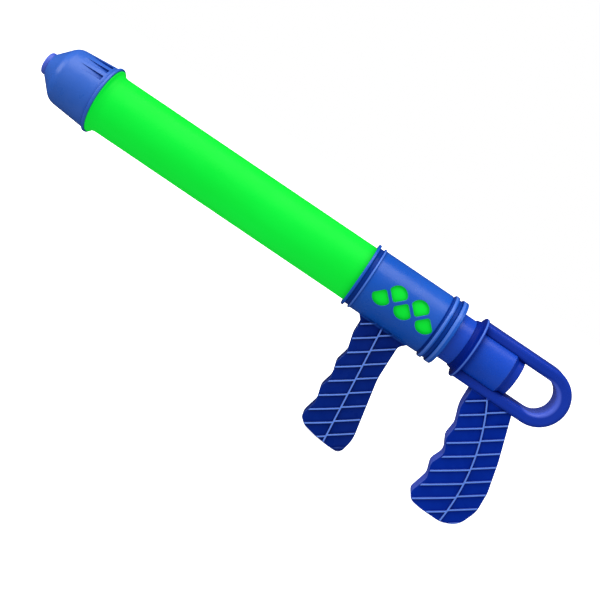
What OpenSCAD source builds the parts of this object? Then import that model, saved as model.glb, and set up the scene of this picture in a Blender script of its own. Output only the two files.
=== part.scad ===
// Pump water squirter with two pistol grips, drawn with its plunger pushed in.
// The barrel lies along X with the nozzle mouth at the origin. The plunger pulls out
// towards +X, the grips hang down towards -Z, and the two sides, -Y and +Y, are alike.

/* [Barrel] */
// Outside diameter of the barrel tube
barrel_d = 50.8; // [47:0.2:56]
// Wall of the barrel tube
barrel_wall = 2; // [1.6:0.1:2.4]
// Length of the barrel tube, with the ends that sit in the nose and the collar
barrel_l = 353; // [300:1:420]
// Length of the flare by which the barrel meets the nose's rim
barrel_flare_l = 6.6; // [5:0.2:12]

/* [Nose] */
// Diameter of the nozzle tip where it stands out of the nose
nozzle_d = 19.8; // [18:0.2:21]
// Length of the nozzle tip that stands out of the nose
nozzle_l = 4.6; // [3.4:0.2:6]
// Diameter of the hole that the water leaves by
orifice_d = 5; // [3:0.5:7]
// Length of the cone behind the nozzle tip
cone_l = 14; // [12:0.5:18]
// Length of the flared skirt behind the cone
skirt_l = 36; // [33:0.5:42]
// Growth of the skirt's radius from the cone to the rim
flare_h = 3.2; // [2.6:0.1:4]
// Height of the rim over the flared skirt
rim_h = 1.7; // [1:0.1:2.5]
// Length of the rim
rim_l = 2.6; // [2:0.1:5]
// Wall of the nose ahead of the barrel
nose_wall = 3; // [2.4:0.1:3.6]
// Depth of the socket that takes the barrel
socket_l = 23; // [20:0.5:26]
// Thickness of the flat ring that seals the barrel's front end
gasket_t = 1.5; // [1:0.1:2]
// Number of flutes across the top of the skirt
flute_n = 7; // [3:1:9]
// Angle from one flute to the next
flute_step = 18; // [15:0.5:20]
// Width of a flute
flute_w = 4.8; // [3:0.1:5.5]

/* [Collar] */
// Length of the collar, from its front lip to the gland ring
collar_l = 83; // [80:1:90]
// Wall of the collar over the barrel
collar_wall = 2.2; // [1.8:0.1:3]
// Height of the front lip over the collar
front_lip_h = 1.6; // [1:0.1:2.5]
// Height of the second lip over the collar
second_lip_h = 0.9; // [0.5:0.1:1.5]
// Length of the front lip
front_lip_l = 2.4; // [2:0.1:4]
// Length of the groove between the two front lips
front_groove_l = 3.8; // [3:0.1:5]
// Length of the second lip
second_lip_l = 1.8; // [1.5:0.1:3]
// Depth of the grooves beside the lips below the collar's surface
lip_groove_h = 0.8; // [0.4:0.1:1]
// Height of the rear lip and of the gland ring over the collar
rear_lip_h = 2; // [1.4:0.1:2.8]
// Length of the rear lip
rear_lip_l = 3.3; // [2.5:0.1:4]
// Height of the band behind the rear lip over the collar
rear_band_h = 0.4; // [0.2:0.1:0.8]
// Length of the groove ahead of the rear lip
rear_groove_l = 1.8; // [1.4:0.1:3]
// Length of the band behind the rear lip
rear_band_l = 3.7; // [3:0.1:5]
// Length of the gland ring behind the collar
gland_l = 5.4; // [5:0.1:9]
// Radius of a window's round end
window_r = 8.2; // [7:0.1:8.4]
// Width of the straps between the windows
strap_w = 2.8; // [2.2:0.1:3.6]
// Distance from one window of a row to the next
window_pitch = 20.7; // [19.5:0.1:21]
// Radius of a window's corners
window_corner_r = 2.2; // [1:0.1:2.6]
// Distance from the collar's middle back to the windows' middle
window_lag = 2.8; // [1:0.1:4]
// Height of the windows' middle over the barrel axis
window_lift = 1.6; // [0:0.1:3]

/* [Grips] */
// Reach of both grips below the barrel axis
grip_reach = 134.2; // [125:0.2:145]
// Thickness of a grip along its spine, over the ribs
grip_t = 23; // [20:0.5:24]
// Fall of a grip's sides from the spine to its edges
grip_crown = 2; // [1:0.1:3]
// Width of the front grip
front_grip_w = 51; // [48:0.5:54]
// Width of the rear grip
rear_grip_w = 62; // [58:0.5:65]
// Distance from one finger valley to the next
finger_pitch = 24.7; // [23:0.1:25.5]
// Depth of a finger valley
finger_depth = 3.4; // [1.5:0.1:4]
// Height of the ribs over the sides of the grips
rib_h = 1.5; // [1:0.1:2]
// Width of a rib
rib_w = 1.3; // [1:0.1:2]
// Distance from one rib to the next, square to the ribs
rib_pitch = 11.65; // [10:0.05:14]
// Rise of the ribs towards the rear
rib_angle = 37.25; // [25:0.25:45]

/* [Plunger] */
// Wall of the guide bush between the barrel and the plunger tube
bush_wall = 1.65; // [1:0.05:4]
// Wall of the plunger tube
tube_wall = 1.8; // [1.4:0.1:2.4]
// Length of tube that shows between the gland ring and the rear flange
neck_l = 13.4; // [8:0.2:25]
// Gap between the piston and the front end of the barrel when pushed in
piston_gap = 3; // [1:0.5:6]
// Length of the piston head that fills the barrel
piston_l = 18; // [16:0.5:24]
// Thickness of a piston seal's cord
seal_d = 3.5; // [2.6:0.1:3.8]

/* [Rear handle] */
// Height of the rear flange over the plunger tube
flange_h = 6.9; // [5:0.1:8]
// Length of the flange's hollow front face
flange_flare_l = 5.6; // [4:0.1:7]
// Length of the flange's rim
flange_rim_l = 2.4; // [2:0.1:4]
// Wall of the loop's arms over the plunger tube
arm_wall = 4.8; // [4:0.1:7]
// Width of the strap that makes the loop
loop_strap_w = 10.8; // [10:0.1:12]
// Length of the loop's straight arms, from the flange's rim to the round end
arm_l = 67.2; // [60:0.2:80]
// Extra width of the strap at the middle of the round end
loop_end_w = 2.2; // [0.5:0.1:4]
// Thickness of the loop's strap from side to side
loop_t = 25; // [24.5:0.5:28]
// Length of tube that the handle grips behind the flange
seat_l = 33.4; // [28:0.2:38]
// Drop of the tail cap's end below the plunger tube's surface
tail_drop = 2.8; // [1.5:0.1:4]
// Length of the tail cap's cone
tail_cone_l = 3.6; // [3:0.1:5]
// Length of the tail cap's end behind the cone
tail_end_l = 5.6; // [4:0.1:9]

/* [Hidden] */
$fn = 96;

// Cuts run past the faces that they open by this much
overrun = 1;
// Gap all round where two pieces of one body are bonded or pressed together
bond_gap = 0.1;
// Gap all round where the plunger tube runs through the bush and the gland ring
run_gap = 0.35;
// Gap between a piston seal and the bore that it wipes
wipe_gap = 0.05;
// Gap between the piston head and the bore
piston_clear = 0.35;
// Steps in a rounded corner
corner_steps = 8;
// Most of a leg that the rounding of one of its ends may take
leg_share = 0.48;
// Sides of the circle that rounds a window's corners
corner_fn = 32;

// Small roundings of edges and hollows
edge_r = 1;
lip_r = 0.7;
fine_r = 0.4;
shoulder_r = 12;

green = [0.05, 0.88, 0.2];
blue = [0.22, 0.38, 0.82];
dark_blue = [0.06, 0.16, 0.6];
tip_blue = [0.24, 0.26, 0.66];
rubber = [0.12, 0.12, 0.13];

// Barrel and nose
barrel_r = barrel_d / 2;
bore_r = barrel_r - barrel_wall;
cap_x = nozzle_l;
shoulder_x = cap_x + cone_l;
skirt_x = shoulder_x + skirt_l;
rim_x = skirt_x + rim_l;
skirt_r = barrel_r + flare_h;
rim_r = skirt_r + rim_h;
barrel_x = rim_x - socket_l;
barrel_end_x = barrel_x + barrel_l;
barrel_flare_x = rim_x + bond_gap;
barrel_flare_share = 0.7;
barrel_flare_h = barrel_flare_share * (flare_h + rim_h);
barrel_knee_share = 0.3;
cap_step = 1;
cap_front_r = nozzle_d / 2 + cap_step;
socket_r = barrel_r + bond_gap;
chamber_r = bore_r - nose_wall / 2;
nozzle_r = nozzle_d / 2;
nozzle_stem_share = 0.68;
nozzle_stem_r = nozzle_stem_share * nozzle_r;
nozzle_stem_l = 6;
nozzle_stem_x = cap_x + nozzle_stem_l;
nozzle_edge_r = 1.6;
orifice_r = orifice_d / 2;
cone_slope = (barrel_r - cap_front_r) / cone_l;
cone_shift = nose_wall * sqrt(1 + cone_slope ^ 2) / cone_slope;
gasket_x = barrel_x - gasket_t;
flute_wall = 0.8;
flute_floor_r = socket_r + flute_wall;
flute_end_x = skirt_x - nose_wall;

// Collar, bush and gland ring
collar_r = barrel_r + collar_wall;
lip_groove_r = collar_r - lip_groove_h;
bush_flange_l = 4;
gland_stem_l = 3;
collar_end_x = barrel_end_x + bush_flange_l + gland_stem_l;
collar_x = collar_end_x - collar_l;
front_lip_r = collar_r + front_lip_h;
second_lip_r = collar_r + second_lip_h;
rear_lip_r = collar_r + rear_lip_h;
rear_band_r = collar_r + rear_band_h;
gland_x = collar_end_x + gland_l;
bush_sleeve_l = 16;
bush_x = barrel_end_x - bush_sleeve_l;

// Windows: a row of two over a row of three, each a quarter wedge with a round end
window_x = collar_x + collar_l / 2 + window_lag;
window_cut = 2 * (collar_r + overrun);
window_tip = (window_pitch / 2 - strap_w * sqrt(2)) / 2;
window_tip_share = 0.82;
window_tip_l = window_tip_share * window_r;
window_rows = [[2, 1], [3, -1]];

// Plunger
tube_r = bore_r - bond_gap - bush_wall - run_gap;
tube_bore_r = tube_r - tube_wall;
piston_x = barrel_x + piston_gap;
tube_x = piston_x + piston_l;
piston_r = bore_r - piston_clear;
seal_r = seal_d / 2;
seal_ring_r = bore_r - wipe_gap - seal_r;
groove_r = seal_ring_r - seal_r - wipe_gap;
groove_l = seal_d + 2 * wipe_gap;
seal_shares = [0.27, 0.73];
plug_r = tube_bore_r - bond_gap;
plug_l = 20;
plug_wall = 2.2;

// Rear handle and tail cap
flange_x = gland_x + neck_l;
flange_r = tube_r + flange_h;
flange_front_h = 1;
flange_front_r = tube_r + flange_front_h;
flange_hollow_r = 3;
flange_rim_x = flange_x + flange_flare_l;
arm_x = flange_rim_x + flange_rim_l;
loop_x = arm_x + arm_l;
seat_r = tube_r + bond_gap;
loop_r = seat_r + arm_wall;
loop_mid_r = loop_r - loop_strap_w / 2;
loop_inner_r = loop_r - loop_strap_w;
strap_r = (loop_strap_w - loop_end_w) / 2 - fine_r;
tube_end_x = arm_x + seat_l;
tail_r = tube_r - tail_drop;
tail_cone_x = tube_end_x + tail_cone_l;
tail_x = tail_cone_x + tail_end_l;

// Grips: places across are shares of a grip's width, and places down are shares of its free length
// below its root, which lies in the collar's wall or in the loop's lower arm
front_grip_lead = 22;
rear_grip_lag = 18.5;
front_grip_x = window_x - front_grip_lead;
rear_grip_x = arm_x + rear_grip_lag;
front_root = socket_r;
rear_root = loop_mid_r;
front_root_shares = [[-0.18, -0.03], [0, 0.055], [0.01, 0.173]];
front_foot_shares = [[0.075, 0.92], [0.2, 0.968], [0.45, 0.988], [0.72, 1], [0.94, 1]];
front_back_shares = [[1, 0.852], [0.757, 0.346], [0.73, 0.055], [0.92, -0.03]];
front_root_radii_shares = [0, 0.16, 0.5];
front_foot_radii_shares = [0.18, 0.25, 0.6, 0.6, 0.2];
front_back_radii_shares = [0.6, 0.8, 0.13, 0];
rear_root_shares = [[0, 0], [0.025, 0.206]];
rear_foot_shares = [[0.152, 0.935], [0.215, 0.988], [0.38, 1], [0.7, 1], [0.93, 0.947]];
rear_back_shares = [[1.03, 0.786], [1, 0.621], [0.87, 0.383], [0.61, 0]];
rear_root_radii_shares = [0, 0.5];
rear_foot_radii_shares = [0.16, 0.2, 0.35, 0.35, 0.35];
rear_back_radii_shares = [0.4, 0.5, 1.2, 0];
front_finger_top_share = 0.309;
rear_finger_top_share = 0.344;
finger_foot_share = 0.11;
finger_r = 9;
front_finger_shares = [0.03, 0.085];
rear_finger_shares = [0.095, 0.175];
front_depth_shares = [1, 1, 1];
rear_depth_shares = [0.55, 1.75, 1.1];
front_spine_shares = [[0.345, 0.012], [0.6, 0.957]];
rear_spine_shares = [[0.28, 0.075], [0.57, 0.443], [0.69, 0.976]];
grip_half_t = grip_t / 2;
rib_inset = 0.8;
front_rib_phase_share = 0.447;
rear_rib_phase_share = 0.264;
rib_stagger_share = 0.085;
rib_n = ceil(grip_reach / rib_pitch);

// Points of an arc that rounds the corner b between a and c, no longer than the legs allow
function unit(v) = v / norm(v);
function corner(a, b, c, wanted) =
    wanted == 0 ? [b] :
    let (
        u = unit(a - b),
        v = unit(c - b),
        half = acos(u * v) / 2,
        r = min(wanted, leg_share * min(norm(a - b), norm(c - b)) * tan(half)),
        centre = b + unit(u + v) * r / sin(half),
        start = b + u * r / tan(half) - centre,
        finish = b + v * r / tan(half) - centre,
        turn = atan2(start.x * finish.y - start.y * finish.x, start * finish),
        first = atan2(start.y, start.x)
    )
    [for (i = [0:corner_steps]) centre + r * [cos(first + turn * i / corner_steps),
                                              sin(first + turn * i / corner_steps)]];

// A closed path whose points are [x, y] or [x, y, corner radius]
function flat(p) = [p[0], p[1]];
function rounded(path) = [
    for (i = [0:len(path) - 1])
        let (
            before = path[(i + len(path) - 1) % len(path)],
            here = path[i],
            after = path[(i + 1) % len(path)]
        )
        each corner(flat(before), flat(here), flat(after), is_undef(here[2]) ? 0 : here[2])
];

// Places down a grip, from shares of its free length below its root
function depth(root, share) = root + share * (grip_reach - root);

// Points placed by shares of a grip's width and free length, with corner radii as shares of its width
function placed(x, width, root, shares, radii) = [
    for (i = [0:len(shares) - 1])
        [x + shares[i][0] * width, -depth(root, shares[i][1]), radii[i] * width]
];
function no_radii(shares) = [for (s = shares) 0];

// Finger valleys and the swells between them, as many as fit above the foot, down a front edge that
// leans by its two shares
function fingers(x, width, root, top_share, lean_shares, depth_shares) =
    let (
        top = depth(root, top_share),
        steps = floor((depth(root, 1 - finger_foot_share) - top) / (finger_pitch / 2))
    )
    [for (i = [0:steps])
        let (
            lean = lean_shares[0] + (lean_shares[1] - lean_shares[0]) * i / steps,
            valley_share = i % 2 == 0 ? depth_shares[min(i / 2, len(depth_shares) - 1)] : 0
        )
        [x + lean * width + valley_share * finger_depth, -top - i * finger_pitch / 2, finger_r]
    ];

// The circle through three points, as [centre, radius]
function circle_through(p, q, s) =
    let (
        a = q - p,
        b = s - p,
        d = 2 * (a.x * b.y - a.y * b.x),
        centre = [(b.y * (a * a) - a.y * (b * b)) / d, (a.x * (b * b) - b.x * (a * a)) / d]
    )
    [p + centre, norm(centre)];

front_outline = rounded(concat(
    placed(front_grip_x, front_grip_w, front_root, front_root_shares, front_root_radii_shares),
    fingers(front_grip_x, front_grip_w, front_root, front_finger_top_share, front_finger_shares,
            front_depth_shares),
    placed(front_grip_x, front_grip_w, front_root, front_foot_shares, front_foot_radii_shares),
    placed(front_grip_x, front_grip_w, front_root, front_back_shares, front_back_radii_shares)
));
rear_outline = rounded(concat(
    placed(rear_grip_x, rear_grip_w, rear_root, rear_root_shares, rear_root_radii_shares),
    fingers(rear_grip_x, rear_grip_w, rear_root, rear_finger_top_share, rear_finger_shares,
            rear_depth_shares),
    placed(rear_grip_x, rear_grip_w, rear_root, rear_foot_shares, rear_foot_radii_shares),
    placed(rear_grip_x, rear_grip_w, rear_root, rear_back_shares, rear_back_radii_shares)
));
front_spine = placed(front_grip_x, front_grip_w, front_root, front_spine_shares,
                     no_radii(front_spine_shares));
rear_spine = placed(rear_grip_x, rear_grip_w, rear_root, rear_spine_shares, no_radii(rear_spine_shares));
rear_bend = circle_through(flat(rear_spine[0]), flat(rear_spine[1]), flat(rear_spine[2]));
front_spine_run = front_spine[1] - front_spine[0];
front_spine_l = norm(front_spine_run);
front_lean = atan2(front_spine_run.x, -front_spine_run.y);

// Radius of a side that bulges by the crown over a grip's width
function crown_r(width) = ((width / 2) ^ 2 + grip_crown ^ 2) / (2 * grip_crown);

// Turns a profile of [along, radius] points about the barrel axis
module revolve(path) {
    rotate([0, 90, 0])
        rotate_extrude()
            polygon([for (p = rounded(path)) [p.y, p.x]]);
}

// A round bore along the barrel axis
module bore(from, to, r) {
    translate([from, 0, 0])
        rotate([0, 90, 0])
            cylinder(h = to - from, r = r);
}

// Stands a side view up in the XZ plane and gives it a thickness either side
module side_view(thickness) {
    rotate([90, 0, 0])
        linear_extrude(thickness, center = true)
            children();
}

module rounded_rectangle(width, height, r) {
    square([width, height - 2 * r], center = true);
    square([width - 2 * r, height], center = true);
    for (i = [-1, 1], j = [-1, 1])
        translate([i * (width / 2 - r), j * (height / 2 - r)])
            circle(r);
}

// Outline of one window with its tip down: a quarter wedge cut off by a round end
module window() {
    offset(r = window_corner_r, $fn = corner_fn)
        offset(delta = -window_corner_r)
            intersection() {
                translate([0, window_tip_l])
                    circle(window_r);
                rotate(45)
                    square(2 * window_r);
            }
}

// A row of two windows over a row of three, tips towards each other, cut through both sides
module windows() {
    translate([window_x, 0, window_lift])
        side_view(window_cut)
            for (row = window_rows, i = [0:row[0] - 1])
                translate([(i - (row[0] - 1) / 2) * window_pitch, -row[1] * window_tip])
                    rotate(row[1] > 0 ? 0 : 180)
                        window();
}

// The fluted skirt's hollows, fanned over the top
module flutes() {
    for (i = [0:flute_n - 1])
        rotate([(i - (flute_n - 1) / 2) * flute_step, 0, 0])
            translate([shoulder_x, -flute_w / 2, flute_floor_r])
                cube([flute_end_x - shoulder_x, flute_w, rim_r]);
}

// Parallel bars that rise towards the rear, the first at its share of a pitch above the spine's start
module rib_bars(start, phase_share) {
    translate(flat(start))
        rotate(rib_angle)
            for (i = [0:rib_n])
                translate([0, (phase_share - i) * rib_pitch])
                    square([3 * grip_reach, rib_w], center = true);
}

// Ribs of one grip: bars ahead of the spine, staggered bars behind it, and the spine itself.
// The first child is the region ahead of the spine, the second is the spine
module ribs(outline, start, phase_share) {
    intersection() {
        offset(delta = -rib_inset)
            polygon(outline);
        union() {
            intersection() {
                rib_bars(start, phase_share);
                children(0);
            }
            difference() {
                rib_bars(start, phase_share + rib_stagger_share);
                children(0);
            }
            children(1);
        }
    }
}

module front_ribs() {
    ribs(front_outline, front_spine[0], front_rib_phase_share) {
        translate(flat(front_spine[0]))
            rotate(front_lean)
                translate([-grip_reach, -grip_reach - front_spine_l])
                    square([grip_reach, 2 * grip_reach + front_spine_l]);
        translate(flat(front_spine[0]))
            rotate(front_lean)
                translate([-rib_w / 2, -grip_reach])
                    square([rib_w, 2 * grip_reach]);
    }
}

module rear_ribs() {
    ribs(rear_outline, rear_spine[0], rear_rib_phase_share) {
        translate(rear_bend[0])
            circle(rear_bend[1]);
        translate(rear_bend[0])
            difference() {
                circle(rear_bend[1] + rib_w / 2);
                circle(rear_bend[1] - rib_w / 2);
            }
    }
}

// Space between two bulging sides whose crowns run down the front grip's straight spine
module front_crown(half_t) {
    r = crown_r(front_grip_w);
    translate([front_spine[0].x, 0, front_spine[0].y])
        rotate([0, -front_lean, 0])
            intersection_for(side = [-1, 1])
                translate([0, side * (r - half_t), 0])
                    cylinder(h = 3 * grip_reach, r = r, center = true);
}

// Space between two bulging sides whose crowns follow the rear grip's bent spine
module rear_crown(half_t) {
    r = crown_r(rear_grip_w);
    translate([rear_bend[0].x, 0, rear_bend[0].y])
        rotate([90, 0, 0])
            rotate_extrude()
                translate([rear_bend[1], 0])
                    intersection_for(side = [-1, 1])
                        translate([0, side * (r - half_t)])
                            circle(r);
}

module front_grip() {
    intersection() {
        side_view(2 * grip_t)
            polygon(front_outline);
        front_crown(grip_half_t - rib_h);
    }
    intersection() {
        side_view(2 * grip_t)
            front_ribs();
        front_crown(grip_half_t);
    }
}

module rear_grip() {
    intersection() {
        side_view(2 * grip_t)
            polygon(rear_outline);
        rear_crown(grip_half_t - rib_h);
    }
    intersection() {
        side_view(2 * grip_t)
            rear_ribs();
        rear_crown(grip_half_t);
    }
}

// Section of the strap's outer half (side 1) or inner half (side -1), with some of the other half
module strap_half(side) {
    intersection() {
        rounded_rectangle(loop_strap_w, loop_t, strap_r);
        translate([side * loop_strap_w / 2, 0])
            square([loop_strap_w + 2 * loop_end_w, 2 * loop_t], center = true);
    }
}

// Two arms from the flange and the half ring that joins them at x, all with one half of the strap
module loop_half(x, side) {
    for (turn = [0, 180])
        rotate([turn, 0, 0])
            translate([flange_rim_x, 0, loop_mid_r])
                rotate([0, 90, 0])
                    linear_extrude(x - flange_rim_x)
                        rotate(180)
                            strap_half(side);
    translate([x, 0, 0])
        rotate([90, 0, 0])
            rotate([0, 0, -90])
                rotate_extrude(angle = 180)
                    translate([loop_mid_r, 0])
                        strap_half(side);
}

// The loop, whose inner half ends further forward, so that the strap widens towards the round end
module loop() {
    loop_half(loop_x, 1);
    loop_half(loop_x - loop_end_w, -1);
}

module barrel() {
    color(green)
        revolve([
            [barrel_x, bore_r],
            [barrel_x, barrel_r],
            [barrel_flare_x, barrel_r],
            [barrel_flare_x, barrel_r + barrel_flare_h],
            [barrel_flare_x + edge_r, barrel_r + barrel_flare_h, fine_r],
            [barrel_flare_x + barrel_knee_share * barrel_flare_l,
             barrel_r + barrel_knee_share * barrel_flare_h, barrel_flare_l],
            [barrel_flare_x + barrel_flare_l, barrel_r, barrel_flare_l],
            [barrel_end_x, barrel_r],
            [barrel_end_x, bore_r]
        ]);
}

module nose_cap() {
    color(blue)
        difference() {
            revolve([
                [cap_x, 0],
                [cap_x, cap_front_r, edge_r],
                [shoulder_x, barrel_r, shoulder_r],
                [skirt_x, skirt_r, lip_r],
                [skirt_x, rim_r, lip_r],
                [rim_x, rim_r, lip_r],
                [rim_x, 0]
            ]);
            revolve([
                [cap_x - overrun, 0],
                [cap_x - overrun, nozzle_stem_r + bond_gap],
                [nozzle_stem_x, nozzle_stem_r + bond_gap],
                [nozzle_stem_x, cap_front_r + (nozzle_stem_x - cap_x - cone_shift) * cone_slope],
                [cap_x + cone_shift + (chamber_r - cap_front_r) / cone_slope, chamber_r],
                [gasket_x, chamber_r],
                [gasket_x, socket_r],
                [rim_x + overrun, socket_r],
                [rim_x + overrun, 0]
            ]);
            flutes();
        }
}

module nose_gasket() {
    color(rubber)
        revolve([
            [gasket_x, chamber_r],
            [gasket_x, barrel_r],
            [barrel_x, barrel_r],
            [barrel_x, chamber_r]
        ]);
}

module nozzle_tip() {
    color(tip_blue)
        revolve([
            [0, orifice_r],
            [0, nozzle_r, nozzle_edge_r],
            [cap_x, nozzle_r],
            [cap_x, nozzle_stem_r],
            [nozzle_stem_x, nozzle_stem_r],
            [nozzle_stem_x, orifice_r]
        ]);
}

module front_handle() {
    second_lip_x = collar_x + front_lip_l + front_groove_l;
    rear_band_x = collar_end_x - rear_band_l;
    rear_lip_x = rear_band_x - rear_lip_l;
    color(blue)
        difference() {
            union() {
                revolve([
                    [collar_x, 0],
                    [collar_x, front_lip_r, lip_r],
                    [collar_x + front_lip_l, front_lip_r, lip_r],
                    [collar_x + front_lip_l, lip_groove_r, lip_r],
                    [second_lip_x, lip_groove_r, fine_r],
                    [second_lip_x, second_lip_r, fine_r],
                    [second_lip_x + second_lip_l, second_lip_r, fine_r],
                    [second_lip_x + second_lip_l, collar_r, fine_r],
                    [rear_lip_x - rear_groove_l, collar_r, fine_r],
                    [rear_lip_x - rear_groove_l, lip_groove_r, fine_r],
                    [rear_lip_x, lip_groove_r, fine_r],
                    [rear_lip_x, rear_lip_r, lip_r],
                    [rear_band_x, rear_lip_r, fine_r],
                    [rear_band_x, rear_band_r, fine_r],
                    [collar_end_x, rear_band_r, fine_r],
                    [collar_end_x, 0]
                ]);
                front_grip();
            }
            bore(collar_x - overrun, collar_end_x + overrun, socket_r);
            windows();
        }
}

module guide_bush() {
    color(tip_blue)
        revolve([
            [bush_x, tube_r + run_gap],
            [bush_x, bore_r - bond_gap],
            [barrel_end_x, bore_r - bond_gap],
            [barrel_end_x, barrel_r],
            [barrel_end_x + bush_flange_l, barrel_r],
            [barrel_end_x + bush_flange_l, tube_r + run_gap]
        ]);
}

module gland_ring() {
    color(blue)
        revolve([
            [collar_end_x - gland_stem_l, tube_r + run_gap],
            [collar_end_x - gland_stem_l, barrel_r],
            [collar_end_x, barrel_r],
            [collar_end_x, rear_lip_r, lip_r],
            [gland_x, rear_lip_r, edge_r],
            [gland_x, tube_r + run_gap]
        ]);
}

// A seal ring round the piston, placed by its share of the piston's length
module piston_seal(share) {
    color(rubber)
        translate([piston_x + share * piston_l, 0, 0])
            rotate([0, 90, 0])
                rotate_extrude()
                    translate([seal_ring_r, 0])
                        circle(seal_r);
}

module piston_seal_front() {
    piston_seal(seal_shares[0]);
}

module piston_seal_rear() {
    piston_seal(seal_shares[1]);
}

module piston_head() {
    hollow_r = plug_r - plug_wall;
    color(tip_blue)
        difference() {
            revolve([
                [piston_x, 0],
                [piston_x, piston_r, edge_r],
                [tube_x, piston_r],
                [tube_x, plug_r],
                [tube_x + plug_l, plug_r],
                [tube_x + plug_l, hollow_r],
                [piston_x + plug_wall, hollow_r],
                [piston_x + plug_wall, 0]
            ]);
            for (share = seal_shares)
                translate([piston_x + share * piston_l - groove_l / 2, 0, 0])
                    revolve([
                        [0, groove_r],
                        [0, bore_r],
                        [groove_l, bore_r],
                        [groove_l, groove_r]
                    ]);
        }
}

module plunger_tube() {
    color(blue)
        revolve([
            [tube_x, tube_bore_r],
            [tube_x, tube_r],
            [tube_end_x, tube_r],
            [tube_end_x, tube_bore_r]
        ]);
}

module rear_handle() {
    color(dark_blue)
        difference() {
            union() {
                revolve([
                    [flange_x, 0],
                    [flange_x, flange_front_r],
                    [flange_rim_x - edge_r, flange_front_r + edge_r, flange_hollow_r],
                    [flange_rim_x, flange_r, lip_r],
                    [arm_x, flange_r, lip_r],
                    [arm_x, 0]
                ]);
                loop();
                rear_grip();
            }
            revolve([
                [flange_x - overrun, 0],
                [flange_x - overrun, seat_r],
                [tube_end_x, seat_r],
                [tail_cone_x, tail_r + bond_gap],
                [tail_x + bond_gap, tail_r + bond_gap],
                [tail_x + bond_gap, 0]
            ]);
        }
}

module tail_cap() {
    color(dark_blue)
        revolve([
            [tube_end_x - plug_l, plug_r - plug_wall],
            [tube_end_x - plug_l, plug_r],
            [tube_end_x, plug_r],
            [tube_end_x, tube_r],
            [tail_cone_x, tail_r, edge_r],
            [tail_x, tail_r, edge_r],
            [tail_x, 0],
            [tail_x - plug_wall, 0],
            [tail_x - plug_wall, tail_r - plug_wall],
            [tail_cone_x, tail_r - plug_wall],
            [tube_end_x, plug_r - plug_wall]
        ]);
}

barrel();
nose_cap();
nose_gasket();
nozzle_tip();
front_handle();
guide_bush();
gland_ring();
piston_seal_front();
piston_seal_rear();
piston_head();
plunger_tube();
rear_handle();
tail_cap();
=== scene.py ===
"""Looks of a pump water squirter: green barrel, blue nose, collar and plunger, two ribbed grips."""
import math
from collections import namedtuple

import bpy
from mathutils import Matrix, Vector


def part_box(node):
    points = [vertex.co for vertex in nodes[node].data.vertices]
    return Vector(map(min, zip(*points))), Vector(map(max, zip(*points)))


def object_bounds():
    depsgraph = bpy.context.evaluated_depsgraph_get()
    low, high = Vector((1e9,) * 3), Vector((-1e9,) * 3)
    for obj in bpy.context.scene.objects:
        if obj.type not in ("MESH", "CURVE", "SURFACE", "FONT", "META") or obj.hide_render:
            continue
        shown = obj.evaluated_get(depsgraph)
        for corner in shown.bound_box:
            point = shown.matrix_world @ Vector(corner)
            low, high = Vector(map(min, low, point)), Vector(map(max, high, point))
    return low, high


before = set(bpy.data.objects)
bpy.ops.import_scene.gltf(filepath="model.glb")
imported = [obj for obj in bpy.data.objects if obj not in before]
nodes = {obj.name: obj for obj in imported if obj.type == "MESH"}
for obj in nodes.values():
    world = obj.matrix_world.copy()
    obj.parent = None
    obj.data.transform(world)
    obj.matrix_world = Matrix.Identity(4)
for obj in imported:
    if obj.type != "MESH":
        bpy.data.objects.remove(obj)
cad_low, cad_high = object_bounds()

# Places and sizes on the part are written in millimetres, and MM turns them into metres
MM = 0.001

# Camera: what it looks at, how far off it stands, how high, and how much it rolls
AIM = Vector((282.35, 0.0, -46.27)) * MM
CAMERA_DISTANCE = 829.4 * MM
CAMERA_ELEVATION = math.radians(9.27)
CAMERA_ROLL = math.radians(34.06)
# Its sensor and lens in millimetres, and the nearest and farthest that it sees in metres
SENSOR_W = 36.0
LENS = 59.77
CLIP_START = 0.01
CLIP_END = 100.0

# Floor: half its side in metres, and how dull it is
FLOOR_HALF = 6.0
FLOOR_ROUGH = 0.9

# Lights, in metres and watts: a key light overhead and one beside the nose
KEY_PLACE = (-0.35, -0.75, 2.1)
KEY_SIZE = (2.2, 2.6)
KEY_WATTS = 40.0
NOSE_SIDE_PLACE = (-2.0, -0.9, 0.5)
NOSE_SIDE_SIZE = (1.4, 1.4)
NOSE_SIDE_WATTS = 17.0

# How brightly the floor and the room are seen, how strongly they light the part, and how they show
# in its gloss
FLOOR_RAYS = {"Is Camera Ray": 0.95, "Is Diffuse Ray": 0.5, "Is Glossy Ray": 0.02}
ROOM_RAYS = {"Is Camera Ray": 1.0, "Is Diffuse Ray": 0.72, "Is Glossy Ray": 0.05}

# Places along the barrel, from the frame: the collar's two ends, the flange's front and the loop's end
collar_x, collar_end_x = [corner.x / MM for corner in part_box("front_handle")]
flange_x, loop_end_x = [corner.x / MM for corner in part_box("rear_handle")]

# Painted shade in grooves and painted highlights on lips, as spans behind the collar's front, the
# collar's end or the flange's front, below zero ahead of it
COLLAR_FRONT_SHADE = [(2.4, 6.2)]
COLLAR_FRONT_HIGHLIGHT = [(6.5, 7.6)]
COLLAR_END_SHADE = [(-9.4, -7.6), (-3.7, 0.0)]
COLLAR_END_HIGHLIGHT = [(-6.9, -5.3)]
GLAND_HIGHLIGHT = [(0.7, 2.4)]
FLANGE_SHADE = [(0.0, 5.6)]
FLANGE_HIGHLIGHT = [(6.1, 7.0)]
BAND_BLEND = 0.4

# Pull loop: its radii, and how far out from the inner one the painted light on its inner face starts and
# ends fading
LOOP_R = 26.2
LOOP_INNER_R = 15.4
LOOP_FADE_START = 0.6
LOOP_FADE_END = 2.4

# Grips: points (x, z) of the straight front spine and the bent rear one, and how round the sides are
FRONT_SPINE = [(351.1, -26.8), (364.1, -129.5)]
REAR_SPINE = [(456.9, -29.3), (474.8, -71.0), (482.3, -131.5)]
FRONT_CROWN_R = 163.6
REAR_CROWN_R = 241.3
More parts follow.
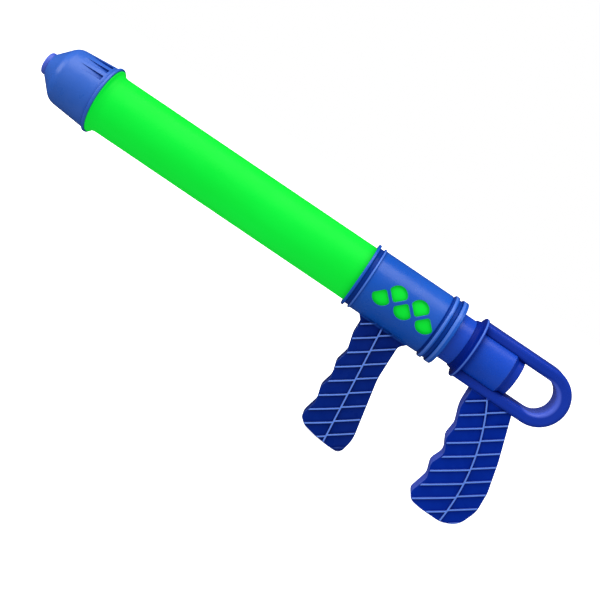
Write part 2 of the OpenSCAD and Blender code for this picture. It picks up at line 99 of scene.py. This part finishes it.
# Half a grip's thickness over its panels, its ribs' height, and the shares of that height where the ribs'
# painted highlight starts and is full
PANEL_HALF_T = 10.0
RIB_H = 1.5
RIB_FOOT_SHARE = 0.5
RIB_TOP_SHARE = 0.9
# The ribs' slant, and how far out, square to them, the front grip's last rib with a painted highlight
# lies
RIB_ANGLE = math.radians(37.25)
FRONT_LAST_RIB = 326.9
LAST_RIB_BLEND = 0.5
# Heights where each grip's painted shade and highlights start, and where both grips are clear of the
# pieces above them, with no painted contact shade below that
FRONT_GRIP_TOP = -27.8
REAR_GRIP_TOP = -27.0
GRIPS_CLEAR = -40.0
HEIGHT_BLEND = 1.0
# Axes of the plane that both grips and the loop lie in
GRIP_PLANE = (1.0, 0.0, 1.0)

# Radii of rounded edges
EDGE_R = 0.5
FRONT_EDGE_R = 0.8
REAR_EDGE_R = 1.0
RUBBER_EDGE_R = 0.1

# Linear colours
GREEN = (0.001, 0.416, 0.022)
GREEN_DEEP = (0.001, 0.375, 0.016)
BLUE = (0.003, 0.09, 0.52)
BLUE_PALE = (0.006, 0.105, 0.59)
NOSE_BLUE = (0.018, 0.112, 0.54)
NOSE_PALE = (0.034, 0.14, 0.62)
TUBE_BLUE = (0.003, 0.066, 0.58)
TUBE_PALE = (0.005, 0.08, 0.66)
HANDLE_BLUE = (0.003, 0.033, 0.39)
HANDLE_PALE = (0.006, 0.043, 0.47)
# Navy of the grip panels: painted shade of the deep grip recesses, also on the front grip's edge faces
FRONT_GRIP_SHADE = (0.001, 0.017, 0.21)
REAR_PANEL_SHADE = (0.001, 0.022, 0.32)
# Painted highlight on the grip ribs' crests
RIB_HIGHLIGHT = (0.13, 0.28, 0.92)
TIP_BLUE = (0.06, 0.12, 0.62)
TIP_PALE = (0.085, 0.15, 0.72)
RUBBER = (0.012, 0.012, 0.014)
RUBBER_PALE = (0.03, 0.03, 0.033)
# Edge wear, partly real rubbing and partly a painted highlight along open edges
RUBBED_AND_HIGHLIGHT = (0.2, 0.36, 0.95)
# Painted light on the rear grip's edge faces
EDGE_PAINTED_LIGHT = (0.06, 0.1, 0.55)
# Painted light on the pull loop's inner face
LOOP_PAINTED_LIGHT = (0.085, 0.145, 0.72)
# Painted highlight on the lips of the collar and gland and on the flange's rim
LIP_HIGHLIGHT = (0.1, 0.24, 0.8)
WHITE = (1.0, 1.0, 1.0)
FLOOR_SHADE = (0.03, 0.03, 0.03)
# What a colour is multiplied by in its painted groove shade, and in a grip panel's streaks
PAINTED_SHADE_TINT = (0.15, 0.3, 0.5)
PANEL_LIFT = (1.3, 1.2, 1.12)

# Noises: scale per metre, detail, roughness, and the low and high values that are spread to 0 and 1
Noise = namedtuple("Noise", "scale detail rough low high", defaults=(0.0, 1.0))
CLOUDS = Noise(22.0, 4.0, 0.55, 0.3, 0.7)
STREAKS = Noise(90.0, 4.0, 0.6, 0.35, 0.7)
SCUFFS = Noise(160.0, 3.0, 0.5, 0.25, 0.6)
SMUDGES = Noise(45.0, 3.0, 0.6, 0.3, 0.75)
GRAIN = Noise(1400.0, 2.0, 0.6)
RUBBER_MOTTLE = Noise(120.0, 4.0, 0.5)
RUBBER_SMUDGES = Noise(300.0, 3.0, 0.5, 0.3, 0.7)
RUBBER_GRAIN = Noise(2500.0, 2.0, 0.5)
# How much a noise is stretched along each axis
EVEN = (1.0, 1.0, 1.0)
ALONG_BARREL = (0.25, 1.0, 1.0)

# Grooves: how far off a wall shades a face, whether only the piece's own walls do, and how open the
# face is where the shade starts and where it is full
Groove = namedtuple("Groove", "reach own light deep")
OWN_GROOVE_SHADE = Groove(7.0, True, 0.84, 0.4)
CONTACT_SHADE = Groove(8.0, False, 0.95, 0.6)
# How dark the painted groove shade is on most pieces and on the barrel, and how strongly the bands of
# painted shade and painted highlight, the painted light in the loop and the edge wear with its painted
# highlight show
PAINTED_GROOVE_SHADE = 0.9
BARREL_PAINTED_SHADE = 0.4
BAND_SHADE_SHARE = 0.8
LIP_HIGHLIGHT_SHARE = 0.7
LOOP_LIGHT_SHARE = 0.85
WEAR_AND_HIGHLIGHT_SHARE = 0.5

# Gloss of each plastic
Gloss = namedtuple("Gloss", "rough specular")
BARREL_GLOSS = Gloss(0.4, 0.1)
NOSE_GLOSS = Gloss(0.3, 0.5)
COLLAR_GLOSS = Gloss(0.28, 0.5)
TUBE_GLOSS = Gloss(0.28, 0.4)
REAR_GLOSS = Gloss(0.28, 0.25)
TAIL_GLOSS = Gloss(0.28, 0.2)
# Share of the gloss left on a grip's panels, the roughness that smudges and rubbing add, and the
# rubber's least and most
PANEL_GLOSS_SHARE = 0.15
SMUDGE_LEAST = -0.07
SMUDGE_MOST = 0.09
RUBBED_ROUGH = 0.15
RUBBER_SMOOTH = 0.5
RUBBER_ROUGH = 0.75
# Strength and height of the fine grain
PLASTIC_BUMP = (0.12, 0.05)
RUBBER_BUMP = (0.15, 0.04)
# Painted glow that brightens and evens out the barrel's green, though the barrel is no lamp
BARREL_PAINTED_GLOW = 1.25

# Cosines between a face and its rounded self, on flat faces and on edges, and between a face and the
# Y axis, on a grip's edge faces and on its sides
FLAT_FACING = 0.985
EDGE_FACING = 0.8
EDGE_FACE_FACING = 0.4
SIDE_FACING = 0.75
# Rays that look for edges and walls round each point
RAYS_PER_POINT = 8


def by_ray(tree, strengths):
    """A strength that depends on the kind of ray."""
    path = tree.nodes.new("ShaderNodeLightPath")
    total = None
    for ray, strength in strengths.items():
        share = tree.nodes.new("ShaderNodeMath")
        share.operation = "MULTIPLY_ADD"
        tree.links.new(path.outputs[ray], share.inputs[0])
        share.inputs[1].default_value = strength
        share.inputs[2].default_value = 0.0
        if total:
            tree.links.new(total, share.inputs[2])
        total = share.outputs[0]
    return total


class Shader:
    """A material's node tree, with short calls that add nodes and link them."""

    def __init__(self, name):
        self.material = bpy.data.materials.new(name)
        self.material.use_nodes = True
        self.tree = self.material.node_tree
        self.bsdf = self.tree.nodes["Principled BSDF"]
        self.place = self.add("ShaderNodeTexCoord").outputs["Object"]

    def add(self, kind, **settings):
        """A new node with these settings."""
        node = self.tree.nodes.new(kind)
        for key, value in settings.items():
            setattr(node, key, value)
        return node

    def put(self, socket, value):
        """Links an output to a socket, or sets the socket to a constant."""
        if isinstance(value, bpy.types.NodeSocket):
            self.tree.links.new(value, socket)
        elif socket.type == "RGBA":
            socket.default_value = (*value, 1.0)
        else:
            socket.default_value = value

    def surface(self, **values):
        """Fills the surface's own sockets, whose names have _ for each space, and gives the material."""
        for name, value in values.items():
            self.put(self.bsdf.inputs[name.replace("_", " ")], value)
        return self.material

    def math(self, operation, a, b=0.0, clamp=False):
        node = self.add("ShaderNodeMath", operation=operation, use_clamp=clamp)
        self.put(node.inputs[0], a)
        self.put(node.inputs[1], b)
        return node.outputs[0]

    def vector(self, operation, a, b=(0.0, 0.0, 0.0), output="Vector"):
        node = self.add("ShaderNodeVectorMath", operation=operation)
        self.put(node.inputs[0], a)
        self.put(node.inputs[1], b)
        return node.outputs[output]

    def axis(self, vector, name):
        """One axis of a vector."""
        node = self.add("ShaderNodeSeparateXYZ")
        self.put(node.inputs[0], vector)
        return node.outputs[name]

    def noise(self, kind, stretch=EVEN):
        node = self.add("ShaderNodeTexNoise")
        self.put(node.inputs["Vector"], self.vector("MULTIPLY", self.place, stretch))
        self.put(node.inputs["Scale"], kind.scale)
        self.put(node.inputs["Detail"], kind.detail)
        self.put(node.inputs["Roughness"], kind.rough)
        return node.outputs["Fac"]

    def remap(self, value, low, high, to_low=0.0, to_high=1.0):
        node = self.add("ShaderNodeMapRange")
        self.put(node.inputs["Value"], value)
        self.put(node.inputs["From Min"], low)
        self.put(node.inputs["From Max"], high)
        self.put(node.inputs["To Min"], to_low)
        self.put(node.inputs["To Max"], to_high)
        return node.outputs["Result"]

    def patches(self, kind, to_low=0.0, to_high=1.0, stretch=EVEN):
        """A noise whose low and high values are spread to two others."""
        return self.remap(self.noise(kind, stretch), kind.low, kind.high, to_low, to_high)

    def mix(self, share, a, b):
        node = self.add("ShaderNodeMix", data_type="RGBA")
        self.put(node.inputs["Factor"], share)
        self.put(node.inputs["A"], a)
        self.put(node.inputs["B"], b)
        return node.outputs["Result"]

    def rounded(self, radius):
        """The face's direction with its edges rounded off."""
        node = self.add("ShaderNodeBevel", samples=RAYS_PER_POINT)
        self.put(node.inputs["Radius"], radius * MM)
        return node.outputs["Normal"]

    def edges(self, rounded):
        """1 on edges and 0 on flat faces: how far the face turns away from its rounded self."""
        flat = self.add("ShaderNodeNewGeometry").outputs["Normal"]
        facing = self.vector("DOT_PRODUCT", rounded, flat, "Value")
        return self.remap(facing, FLAT_FACING, EDGE_FACING)

    def occlusion_shade(self, groove):
        """Painted shade from ambient occlusion: 1 deep in grooves, its own or those between it and its
        neighbours, and 0 on open faces.
        """
        node = self.add("ShaderNodeAmbientOcclusion", samples=RAYS_PER_POINT, only_local=groove.own)
        self.put(node.inputs["Distance"], groove.reach * MM)
        return self.remap(node.outputs["AO"], groove.light, groove.deep)

    def bump(self, height, size, base):
        """The base direction, roughened by a height of this strength and size."""
        strength, distance = size
        node = self.add("ShaderNodeBump")
        self.put(node.inputs["Strength"], strength)
        self.put(node.inputs["Distance"], distance * MM)
        self.put(node.inputs["Height"], height)
        self.put(node.inputs["Normal"], base)
        return node.outputs["Normal"]


def circle_through(first, second, third):
    """Centre and radius of the circle through three points of a plane."""
    a = (second[0] - first[0], second[1] - first[1])
    b = (third[0] - first[0], third[1] - first[1])
    turn = 2 * (a[0] * b[1] - a[1] * b[0])
    aa = a[0] ** 2 + a[1] ** 2
    bb = b[0] ** 2 + b[1] ** 2
    x = (b[1] * aa - a[1] * bb) / turn
    z = (a[0] * bb - b[0] * aa) / turn
    return (first[0] + x, first[1] + z), math.hypot(x, z)


def distance_from(shader, x, z):
    """Distance from a place in the plane of the grips, measured in that plane."""
    from_place = shader.vector("SUBTRACT", shader.place, (x * MM, 0.0, z * MM))
    flat = shader.vector("MULTIPLY", from_place, GRIP_PLANE)
    return shader.vector("LENGTH", flat, output="Value")


def below(shader, z):
    """1 below a height and 0 above it."""
    return shader.remap(shader.axis(shader.place, "Z"), (z + HEIGHT_BLEND) * MM, z * MM)


def between(shader, low, high):
    """1 between two places along the barrel and 0 before and after them."""
    x = shader.axis(shader.place, "X")
    after = shader.remap(x, (low - BAND_BLEND) * MM, low * MM)
    before = shader.remap(x, (high + BAND_BLEND) * MM, high * MM)
    return shader.math("MULTIPLY", after, before)


def bands(start, spans):
    """Places along the barrel where bands begin and end, from their spans behind a start."""
    return [(start + low, start + high) for low, high in spans]


def faces_side(shader):
    """1 on a grip's sides and 0 on its edge faces."""
    normal = shader.add("ShaderNodeTexCoord").outputs["Normal"]
    sideways = shader.math("ABSOLUTE", shader.axis(normal, "Y"))
    return shader.remap(sideways, EDGE_FACE_FACING, SIDE_FACING)


def inside_loop(shader):
    """1 on the round inner face of the pull loop, which gets painted light, and 0 elsewhere."""
    distance = distance_from(shader, loop_end_x - LOOP_R, 0.0)
    outer = LOOP_INNER_R + LOOP_FADE_END
    inner = LOOP_INNER_R + LOOP_FADE_START
    return shader.remap(distance, outer * MM, inner * MM)


def front_off_spine(shader):
    """Distance off the front grip's straight spine, below zero ahead of it."""
    (x0, z0), (x1, z1) = FRONT_SPINE
    lean = math.atan2(x1 - x0, z0 - z1)
    across = (math.cos(lean), 0.0, math.sin(lean))
    from_start = shader.vector("SUBTRACT", shader.place, (x0 * MM, 0.0, z0 * MM))
    return shader.vector("DOT_PRODUCT", from_start, across, "Value")


def rear_off_spine(shader):
    """Distance off the rear grip's bent spine, below zero inside the bend."""
    (x, z), radius = circle_through(*REAR_SPINE)
    return shader.math("SUBTRACT", distance_from(shader, x, z), radius * MM)


def rib_share(shader, off_spine, crown_r):
    """1 on a grip's ribs, which get a painted highlight, and 0 on its panels, from the distance off the
    spine and the crown.
    """
    inside = shader.math("SUBTRACT", (crown_r * MM) ** 2, shader.math("POWER", off_spine, 2.0))
    fall = shader.math("SUBTRACT", crown_r * MM, shader.math("SQRT", inside))
    sideways = shader.math("ABSOLUTE", shader.axis(shader.place, "Y"))
    half_t = shader.math("ADD", sideways, fall)
    foot = PANEL_HALF_T + RIB_FOOT_SHARE * RIB_H
    top = PANEL_HALF_T + RIB_TOP_SHARE * RIB_H
    return shader.remap(half_t, foot * MM, top * MM)


def before_last_rib(shader, last_rib):
    """1 up to a grip's last rib with a painted highlight and 0 beyond it, measured square to the ribs."""
    across = (math.sin(RIB_ANGLE), 0.0, -math.cos(RIB_ANGLE))
    reach = shader.vector("DOT_PRODUCT", shader.place, across, "Value")
    return shader.remap(reach, (last_rib + LAST_RIB_BLEND) * MM, (last_rib - LAST_RIB_BLEND) * MM)


# A grip's looks: its spine, crown and top, its panels' navy painted shade, its edge faces' tone, painted
# shade on the front grip and painted light on the rear one, and its last rib with a painted highlight, or
# None where all its ribs have one
Grip = namedtuple("Grip", "off_spine crown_r top navy edge_tone last_rib")
FRONT_GRIP = Grip(front_off_spine, FRONT_CROWN_R, FRONT_GRIP_TOP, FRONT_GRIP_SHADE, FRONT_GRIP_SHADE, FRONT_LAST_RIB)
REAR_GRIP = Grip(rear_off_spine, REAR_CROWN_R, REAR_GRIP_TOP, REAR_PANEL_SHADE, EDGE_PAINTED_LIGHT, None)


def grip_shade_and_highlights(shader, grip, colour, specular):
    """A handle's colour and gloss, with its grip's navy panels in painted shade, its edge faces' painted
    tone and painted highlights on its ribs laid over them.
    """
    ribs = rib_share(shader, grip.off_spine(shader), grip.crown_r)
    if grip.last_rib:
        ribs = shader.math("MULTIPLY", ribs, before_last_rib(shader, grip.last_rib))
    on_grip = below(shader, grip.top)
    # Navy panels in painted shade, with random lighter streaks
    lifted = tuple(tone * lift for tone, lift in zip(grip.navy, PANEL_LIFT))
    panel = shader.mix(shader.patches(STREAKS), grip.navy, lifted)
    # Painted highlight on the ribs
    side = shader.mix(ribs, panel, RIB_HIGHLIGHT)
    # Edge faces take their painted tone: painted shade on the front grip and painted light on the rear
    # one
    colour = shader.mix(on_grip, colour, shader.mix(faces_side(shader), grip.edge_tone, side))
    on_panel = shader.math("SUBTRACT", on_grip, ribs, clamp=True)
    return colour, shader.remap(on_panel, 0.0, 1.0, specular, PANEL_GLOSS_SHARE * specular)


def painted_groove_shade(shader, shade, contact_from, painted_shade_bands):
    """Painted shade: how dark grooves are, the piece's own and those beside pieces fixed to it, and bands
    of painted shade.
    """
    above_grips = shader.math("SUBTRACT", 1.0, below(shader, GRIPS_CLEAR))
    fixed = shader.math("MULTIPLY", above_grips, between(shader, contact_from, cad_high.x / MM))
    contact = shader.math("MULTIPLY", shader.occlusion_shade(CONTACT_SHADE), fixed)
    dark = shader.math("MAXIMUM", shader.occlusion_shade(OWN_GROOVE_SHADE), contact)
    dark = shader.math("MULTIPLY", dark, shade)
    # Bands of painted shade
    for low, high in painted_shade_bands:
        band_shade = shader.math("MULTIPLY", between(shader, low, high), BAND_SHADE_SHARE)
        dark = shader.math("MAXIMUM", dark, band_shade)
    return dark


def plastic(name, deep, pale, gloss, edge=EDGE_R, stretch=EVEN, shade=PAINTED_GROOVE_SHADE, painted_glow=0.0,
            grip=None, painted_shade_bands=(), highlight_bands=(), loop=False, contact_from=0.0):
    """Moulded plastic: cloudy pigment, fine grain, smudged gloss, painted shade in grooves and bands,
    painted highlights and light, and edges rubbed pale that also carry a painted highlight.
    """
    shader = Shader(name)
    colour = shader.mix(shader.patches(CLOUDS, stretch=stretch), deep, pale)
    shine = gloss.specular
    if grip:
        colour, shine = grip_shade_and_highlights(shader, grip, colour, shine)
    # Painted highlights on the lip bands
    for low, high in highlight_bands:
        highlight_share = shader.math("MULTIPLY", between(shader, low, high), LIP_HIGHLIGHT_SHARE)
        colour = shader.mix(highlight_share, colour, LIP_HIGHLIGHT)
    # Painted light on the loop's inner face
    if loop:
        inner = shader.math("MULTIPLY", inside_loop(shader), LOOP_LIGHT_SHARE)
        colour = shader.mix(inner, colour, LOOP_PAINTED_LIGHT)
    # Painted shade in grooves and shade bands darkens and tints the colour
    dark = painted_groove_shade(shader, shade, contact_from, painted_shade_bands)
    colour = shader.mix(dark, colour, shader.vector("MULTIPLY", colour, PAINTED_SHADE_TINT))
    rounded = shader.rounded(edge)
    # Edge wear, partly real rubbing and partly a painted highlight on edges
    scuffed_and_highlight = shader.math("MULTIPLY", shader.edges(rounded), shader.patches(SCUFFS), clamp=True)
    wear_and_highlight = shader.math("SUBTRACT", scuffed_and_highlight, dark, clamp=True)
    colour = shader.mix(shader.math("MULTIPLY", wear_and_highlight, WEAR_AND_HIGHLIGHT_SHARE), colour, RUBBED_AND_HIGHLIGHT)
    smudge = shader.patches(SMUDGES, gloss.rough + SMUDGE_LEAST, gloss.rough + SMUDGE_MOST)
    open_face = shader.math("SUBTRACT", 1.0, dark, clamp=True)
    return shader.surface(
        Base_Color=colour,
        Emission_Color=colour,
        # Painted glow, on the barrel only
        Emission_Strength=painted_glow,
        Roughness=shader.math("ADD", smudge, shader.math("MULTIPLY", wear_and_highlight, RUBBED_ROUGH)),
        Specular_IOR_Level=shader.math("MULTIPLY", shine, open_face),
        Normal=shader.bump(shader.noise(GRAIN), PLASTIC_BUMP, rounded),
    )


def rubber(name):
    """Black seal rubber: a dull, faintly mottled skin."""
    shader = Shader(name)
    return shader.surface(
        Base_Color=shader.mix(shader.noise(RUBBER_MOTTLE), RUBBER, RUBBER_PALE),
        Roughness=shader.patches(RUBBER_SMUDGES, RUBBER_SMOOTH, RUBBER_ROUGH),
        Normal=shader.bump(shader.noise(RUBBER_GRAIN), RUBBER_BUMP, shader.rounded(RUBBER_EDGE_R)),
    )


def pale_floor():
    """A white studio floor that is seen white and throws back less light."""
    shader = Shader("studio_floor")
    seen = shader.add("ShaderNodeLightPath").outputs["Is Camera Ray"]
    return shader.surface(
        Base_Color=shader.mix(seen, FLOOR_SHADE, WHITE),
        Roughness=FLOOR_ROUGH,
        Specular_IOR_Level=0.0,
        Emission_Color=WHITE,
        Emission_Strength=by_ray(shader.tree, FLOOR_RAYS),
    )


def dress(material, *names):
    """Gives CAD nodes a material."""
    for name in names:
        slots = nodes[name].data.materials
        slots.clear()
        slots.append(material)


def area_light(name, place, size, watts):
    """A soft light that points at what the camera looks at."""
    light = bpy.data.lights.new(name, "AREA")
    light.shape = "RECTANGLE"
    light.size, light.size_y = size
    light.energy = watts
    lamp = bpy.data.objects.new(name, light)
    lamp.location = place
    lamp.rotation_mode = "QUATERNION"
    lamp.rotation_quaternion = (AIM - Vector(place)).to_track_quat("-Z", "Y")
    bpy.context.scene.collection.objects.link(lamp)


def make_camera():
    """A camera on the -Y side that rolls, so that the barrel slants down to the right."""
    data = bpy.data.cameras.new("camera")
    data.sensor_width = SENSOR_W
    data.lens = LENS
    data.clip_start = CLIP_START
    data.clip_end = CLIP_END
    camera = bpy.data.objects.new("camera", data)
    back = Vector((0.0, -math.cos(CAMERA_ELEVATION), math.sin(CAMERA_ELEVATION)))
    level_right = Vector((1.0, 0.0, 0.0))
    level_up = back.cross(level_right)
    right = level_right * math.cos(CAMERA_ROLL) + level_up * math.sin(CAMERA_ROLL)
    up = back.cross(right)
    turn = Matrix((right, up, back)).transposed().to_4x4()
    camera.matrix_world = Matrix.Translation(AIM + back * CAMERA_DISTANCE) @ turn
    bpy.context.scene.collection.objects.link(camera)
    bpy.context.scene.camera = camera


def make_floor():
    """A square floor at the height of the grips' lower ends."""
    mesh = bpy.data.meshes.new("floor")
    outline = [(-1, -1), (1, -1), (1, 1), (-1, 1)]
    corners = [(FLOOR_HALF * x, FLOOR_HALF * y, cad_low.z) for x, y in outline]
    mesh.from_pydata(corners, [], [range(len(corners))])
    mesh.materials.append(pale_floor())
    floor = bpy.data.objects.new("floor", mesh)
    bpy.context.scene.collection.objects.link(floor)


def make_world():
    """White behind everything, and a dimmer white that lights it."""
    world = bpy.data.worlds.new("studio")
    bpy.context.scene.world = world
    world.use_nodes = True
    tree = world.node_tree
    background = tree.nodes["Background"]
    background.inputs["Color"].default_value = (*WHITE, 1.0)
    tree.links.new(by_ray(tree, ROOM_RAYS), background.inputs["Strength"])


make_camera()
make_world()
make_floor()
area_light("key", KEY_PLACE, KEY_SIZE, KEY_WATTS)
area_light("nose_side", NOSE_SIDE_PLACE, NOSE_SIDE_SIZE, NOSE_SIDE_WATTS)

# The barrel gets a painted glow and deep painted groove shade
green = plastic("green_plastic", GREEN_DEEP, GREEN, BARREL_GLOSS, stretch=ALONG_BARREL,
                shade=BARREL_PAINTED_SHADE, painted_glow=BARREL_PAINTED_GLOW)
nose_blue = plastic("nose_plastic", NOSE_BLUE, NOSE_PALE, NOSE_GLOSS)
# The gland ring gets a painted highlight on its lip
gland_blue = plastic("gland_plastic", BLUE, BLUE_PALE, COLLAR_GLOSS,
                     highlight_bands=bands(collar_end_x, GLAND_HIGHLIGHT))
# The tube's painted contact shade starts at the flange, because ahead of it the tube slides through the
# gland
tube_blue = plastic("tube_plastic", TUBE_BLUE, TUBE_PALE, TUBE_GLOSS, contact_from=flange_x)
# The front handle gets painted shade in its collar's grooves, painted highlights on its lips, painted
# shade on its grip's panels and painted highlights on its ribs
front_blue = plastic("front_handle_plastic", BLUE, BLUE_PALE, COLLAR_GLOSS,
                     edge=FRONT_EDGE_R, grip=FRONT_GRIP,
                     painted_shade_bands=bands(collar_x, COLLAR_FRONT_SHADE) + bands(collar_end_x, COLLAR_END_SHADE),
                     highlight_bands=bands(collar_x, COLLAR_FRONT_HIGHLIGHT) + bands(collar_end_x, COLLAR_END_HIGHLIGHT))
# The rear handle gets painted shade on the flange's front face, a painted highlight on its rim, painted
# light inside the loop, and painted shade, light and highlights on its grip
rear_blue = plastic("rear_handle_plastic", HANDLE_BLUE, HANDLE_PALE, REAR_GLOSS,
                    edge=REAR_EDGE_R, grip=REAR_GRIP, loop=True,
                    painted_shade_bands=bands(flange_x, FLANGE_SHADE), highlight_bands=bands(flange_x, FLANGE_HIGHLIGHT))
dark_blue = plastic("dark_blue_plastic", HANDLE_BLUE, HANDLE_PALE, TAIL_GLOSS)
violet = plastic("violet_plastic", TIP_BLUE, TIP_PALE, NOSE_GLOSS)
black = rubber("seal_rubber")

dress(green, "barrel")
dress(nose_blue, "nose_cap")
dress(gland_blue, "gland_ring")
dress(tube_blue, "plunger_tube")
dress(front_blue, "front_handle")
dress(rear_blue, "rear_handle")
dress(dark_blue, "tail_cap")
dress(violet, "nozzle_tip", "guide_bush", "piston_head")
dress(black, "nose_gasket", "piston_seal_front", "piston_seal_rear")

bpy.context.scene.view_settings.view_transform = "Standard"
bpy.context.scene.view_settings.look = "None"
